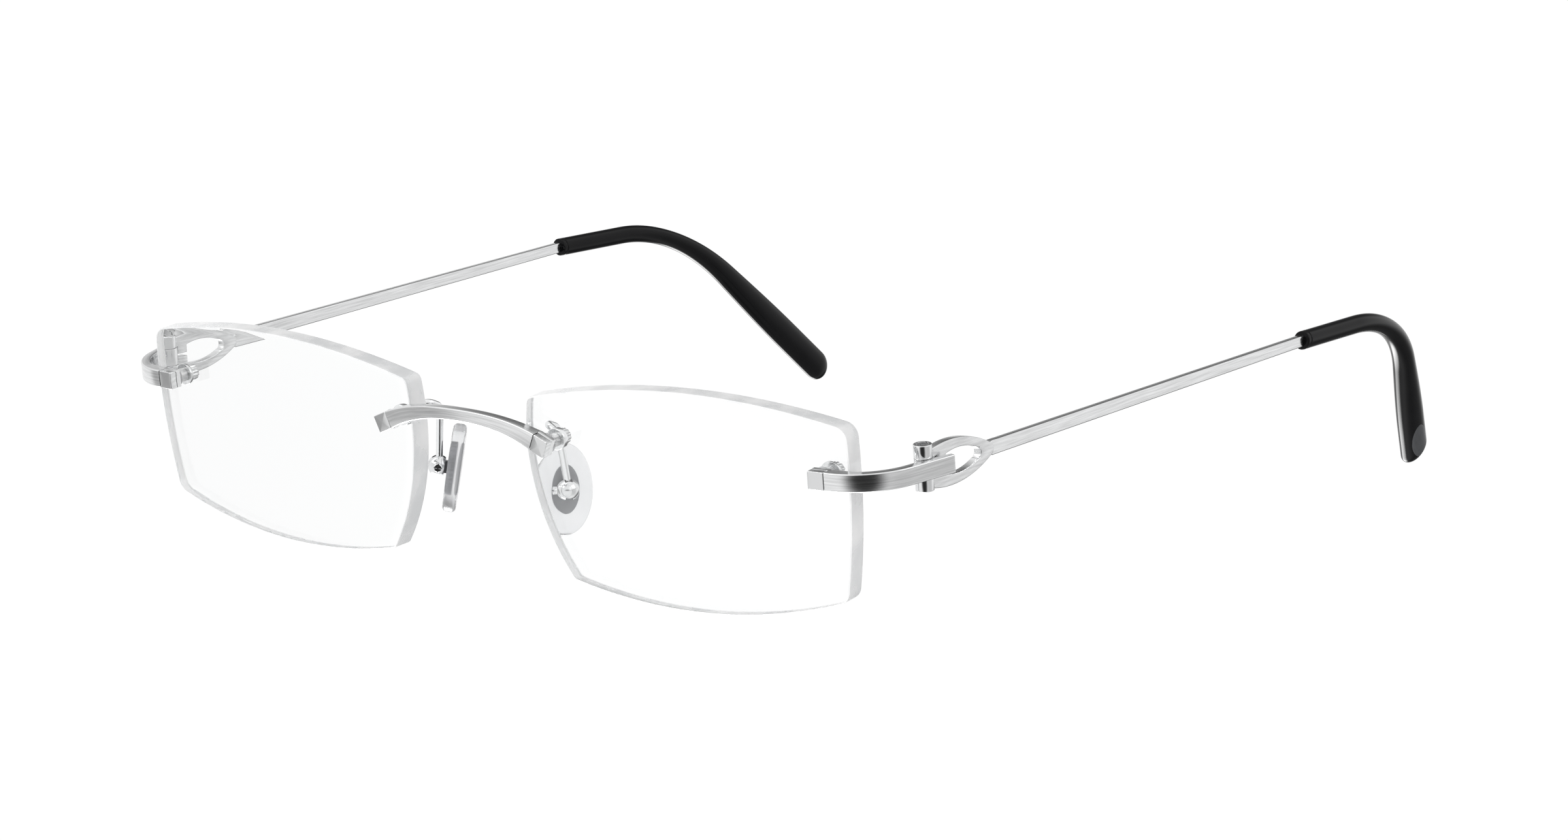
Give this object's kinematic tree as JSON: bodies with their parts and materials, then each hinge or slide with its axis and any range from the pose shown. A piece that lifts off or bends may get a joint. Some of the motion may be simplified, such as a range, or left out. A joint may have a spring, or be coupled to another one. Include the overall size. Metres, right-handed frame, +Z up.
{
  "type": "rimless eyeglasses",
  "caption": "Rimless eyeglasses: clear lenses drilled and clamped to a metal bridge and wrap-round endpieces, folding temples with eye-shaped hinge loops, black tips and rocking nose pads.",
  "frame": {"origin": "bottom centre of the whole object, standing on the lower lens edges and the ends of the temple tips with the temples open", "axes": "+Z up, the wearer looks along -Y, the temples run back along +Y, +X is the wearer's left"},
  "size_m": [0.1336, 0.1468, 0.0289],
  "materials": {
    "bar_metal": "satin",
    "polished_metal": "polished",
    "screw_metal": "polished, turned",
    "pad_core_metal": "satin",
    "lens_clear": "clear, polished edge",
    "bush_plastic": "translucent",
    "pad_silicone": "soft, translucent",
    "tip_black": "gloss",
    "inlay_plate": "satin, blank"
  },
  "bodies": {
    "front": {"bridge_bar": "bar_metal", "lens_left": "lens_clear", "bridge_block_left": "polished_metal", "endpiece_block_left": "polished_metal", "nasal_bush_left": "bush_plastic", "temporal_bush_left": "bush_plastic", "temporal_washer_left": "polished_metal", "nasal_nut_left": "screw_metal", "temporal_nut_left": "screw_metal", "endpiece_left": "bar_metal", "hinge_knuckle_middle_left": "polished_metal", "pad_arm_left": "polished_metal", "pad_box_left": "polished_metal", "pad_screw_left": "screw_metal", "lens_right": "lens_clear", "bridge_block_right": "polished_metal", "endpiece_block_right": "polished_metal", "nasal_bush_right": "bush_plastic", "temporal_bush_right": "bush_plastic", "temporal_washer_right": "polished_metal", "nasal_nut_right": "screw_metal", "temporal_nut_right": "screw_metal", "endpiece_right": "bar_metal", "hinge_knuckle_middle_right": "polished_metal", "pad_arm_right": "polished_metal", "pad_box_right": "polished_metal", "pad_screw_right": "screw_metal"},
    "temple_left": {"temple_left": "bar_metal", "hinge_knuckle_upper_left": "polished_metal", "hinge_knuckle_lower_left": "polished_metal", "hinge_screw_left": "screw_metal", "temple_tip_left": "tip_black", "tip_inlay_left": "inlay_plate"},
    "pad_left": {"pad_core_left": "pad_core_metal", "nose_pad_left": "pad_silicone"},
    "temple_right": {"temple_right": "bar_metal", "hinge_knuckle_upper_right": "polished_metal", "hinge_knuckle_lower_right": "polished_metal", "hinge_screw_right": "screw_metal", "temple_tip_right": "tip_black", "tip_inlay_right": "inlay_plate"},
    "pad_right": {"pad_core_right": "pad_core_metal", "nose_pad_right": "pad_silicone"}
  },
  "joints": [
    {"name": "temple_left_fold", "type": "hinge", "parent": "front", "child": "temple_left", "pos_m": [0.06401, -0.05917, 0.02109], "axis": [0.0082, -0.1195, 0.9928], "range_deg": [0, 90]},
    {"name": "temple_right_fold", "type": "hinge", "parent": "front", "child": "temple_right", "pos_m": [-0.06401, -0.05917, 0.02109], "axis": [-0.0082, -0.1195, 0.9928], "range_deg": [-86, 0]},
    {"name": "pad_left_rock", "type": "hinge", "parent": "front", "child": "pad_left", "pos_m": [0.01152, -0.06371, 0.01267], "axis": [0.6225, 0.7826, 0], "range_deg": [-10, 10]},
    {"name": "pad_right_rock", "type": "hinge", "parent": "front", "child": "pad_right", "pos_m": [-0.01152, -0.06371, 0.01267], "axis": [-0.6225, 0.7826, 0], "range_deg": [-10, 10]}
  ]
}
